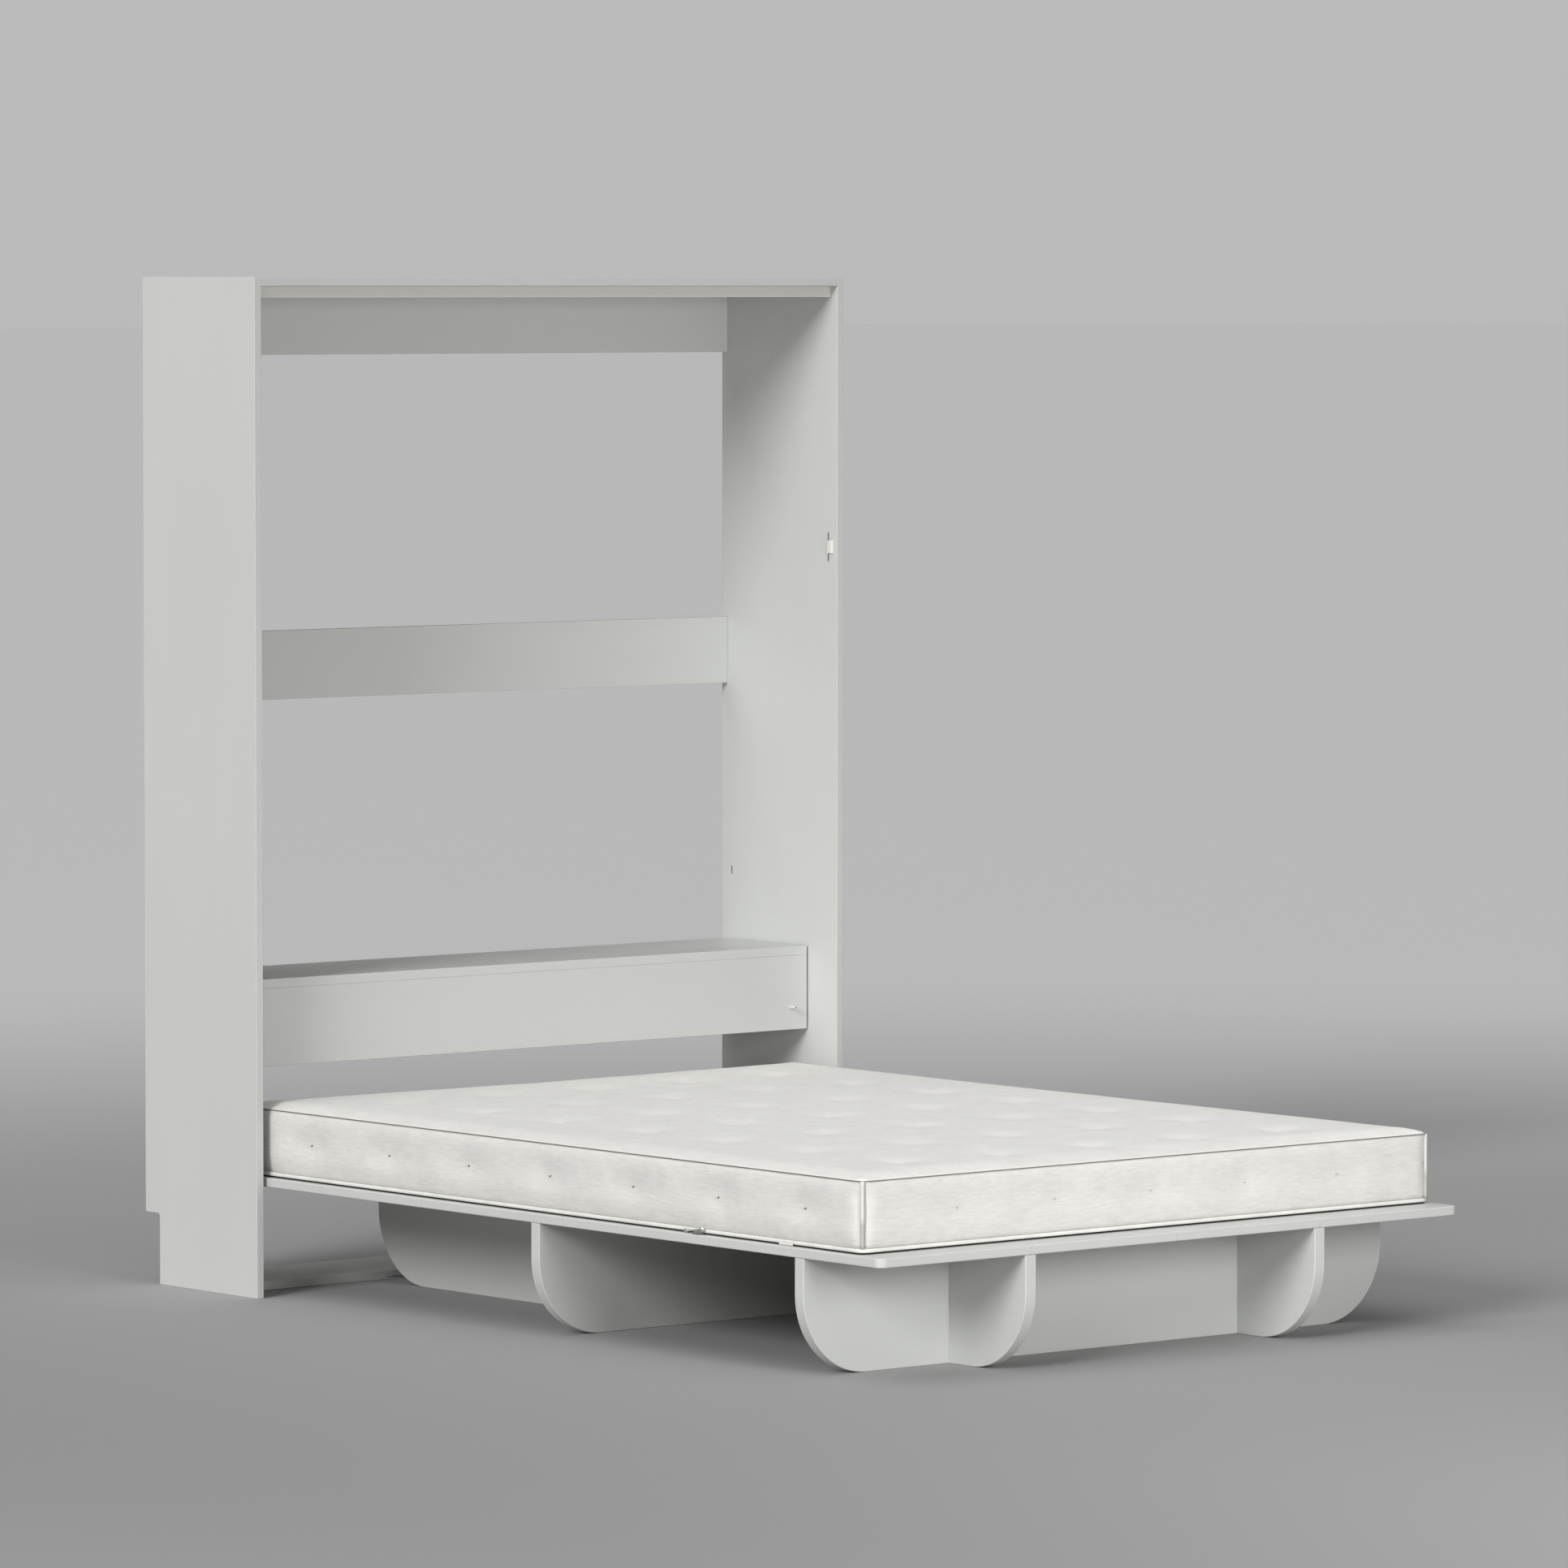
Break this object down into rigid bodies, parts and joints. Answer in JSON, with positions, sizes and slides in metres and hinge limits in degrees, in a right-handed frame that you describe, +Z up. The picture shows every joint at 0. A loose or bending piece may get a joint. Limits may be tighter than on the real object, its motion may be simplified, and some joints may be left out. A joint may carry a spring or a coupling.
{
  "type": "murphy wall bed",
  "caption": "Wall bed that folds up into a shallow cabinet, with a queen mattress on a plank deck, rounded leg boards and a tipping headboard shelf.",
  "frame": {"origin": "on the floor, in the middle of the space the open bed takes up", "axes": "+X to the right seen from the foot of the bed, +Y towards the wall, +Z up"},
  "size_m": [1.61, 2.388, 2.146],
  "materials": {
    "painted_board": "satin, pale grey-green sprayed lacquer on board",
    "header_board": "satin, warmer grey lacquer",
    "painted_knob": "satin lacquer on a turned peg",
    "raw_wood": "planed, unfinished",
    "screw_steel": "zinc plated",
    "bracket_steel": "powder coated",
    "dark_steel": "matt grey",
    "dark_plastic": "moulded",
    "nylon": "moulded",
    "bronze": "sintered",
    "chrome": "polished",
    "mattress_fabric": "woven ticking over foam",
    "webbing": "woven strap"
  },
  "bodies": {
    "cabinet": {"left_side_panel": "painted_board", "right_side_panel": "painted_board", "top_panel": "painted_board", "header_rail": "header_board", "upper_back_rail": "painted_board", "middle_back_rail": "painted_board", "headboard_hinge_rail": "painted_board", "floor_board": "painted_board", "cam_locks": "screw_steel", "cam_bolts": "screw_steel", "wood_dowels": "raw_wood", "pivot_bracket_left": "bracket_steel", "pivot_bracket_right": "bracket_steel", "pivot_bolt_left": "screw_steel", "pivot_bolt_right": "screw_steel", "pivot_washers": "screw_steel", "pivot_bracket_screws": "screw_steel", "catch_plate_left": "dark_steel", "catch_plate_right": "dark_steel", "catch_block_left": "nylon", "catch_block_right": "nylon", "slot_blanks": "dark_plastic", "headboard_hinge_fixed_leaf_left": "screw_steel", "headboard_hinge_fixed_leaf_right": "screw_steel", "headboard_hinge_pin_left": "screw_steel", "headboard_hinge_pin_right": "screw_steel", "hinge_rail_screws": "screw_steel"},
    "headboard": {"headboard_shelf_board": "painted_board", "headboard_front_board": "painted_board", "headboard_corner_blocks": "raw_wood", "headboard_block_screws": "screw_steel", "headboard_knob": "painted_knob", "headboard_hinge_moving_leaf_left": "screw_steel", "headboard_hinge_moving_leaf_right": "screw_steel", "hinge_shelf_screws": "screw_steel"},
    "bed": {"deck_plank_1": "painted_board", "deck_plank_2": "painted_board", "deck_plank_3": "painted_board", "deck_plank_4": "painted_board", "head_leg_left": "painted_board", "head_leg_right": "painted_board", "foot_leg_left": "painted_board", "foot_leg_right": "painted_board", "cross_leg_foot": "painted_board", "cross_leg_middle": "painted_board", "deck_batten_middle": "raw_wood", "deck_batten_head": "raw_wood", "leg_brackets": "bracket_steel", "deck_screws": "screw_steel", "pivot_bush_left": "bronze", "pivot_bush_right": "bronze", "mattress": "mattress_fabric", "mattress_strap_tab_left": "webbing", "mattress_strap_tab_right": "webbing", "latch_base_left": "dark_steel", "latch_base_right": "dark_steel", "latch_pivot_pin_left": "screw_steel", "latch_pivot_pin_right": "screw_steel"},
    "latch_left": {"latch_lever_left": "chrome"},
    "latch_right": {"latch_lever_right": "chrome"}
  },
  "joints": [
    {"name": "bed_fold", "type": "hinge", "parent": "cabinet", "child": "bed", "pos_m": [0, 0.745, 0.183], "axis": [-1, 0, 0], "range_deg": [0, 90]},
    {"name": "headboard_tip", "type": "hinge", "parent": "cabinet", "child": "headboard", "pos_m": [0, 1.1702, 0.639], "axis": [1, 0, 0], "range_deg": [0, 56]},
    {"name": "latch_left_swing", "type": "hinge", "parent": "bed", "child": "latch_left", "pos_m": [-0.769, -0.592, 0.2572], "axis": [0, 0, -1], "range_deg": [0, 14.8]},
    {"name": "latch_right_swing", "type": "hinge", "parent": "bed", "child": "latch_right", "pos_m": [0.769, -0.592, 0.2572], "axis": [0, 0, 1], "range_deg": [0, 14.8]}
  ],
  "couplings": [
    {"joint": "headboard_tip", "follows": "bed_fold", "ratio": 0.6222}
  ]
}
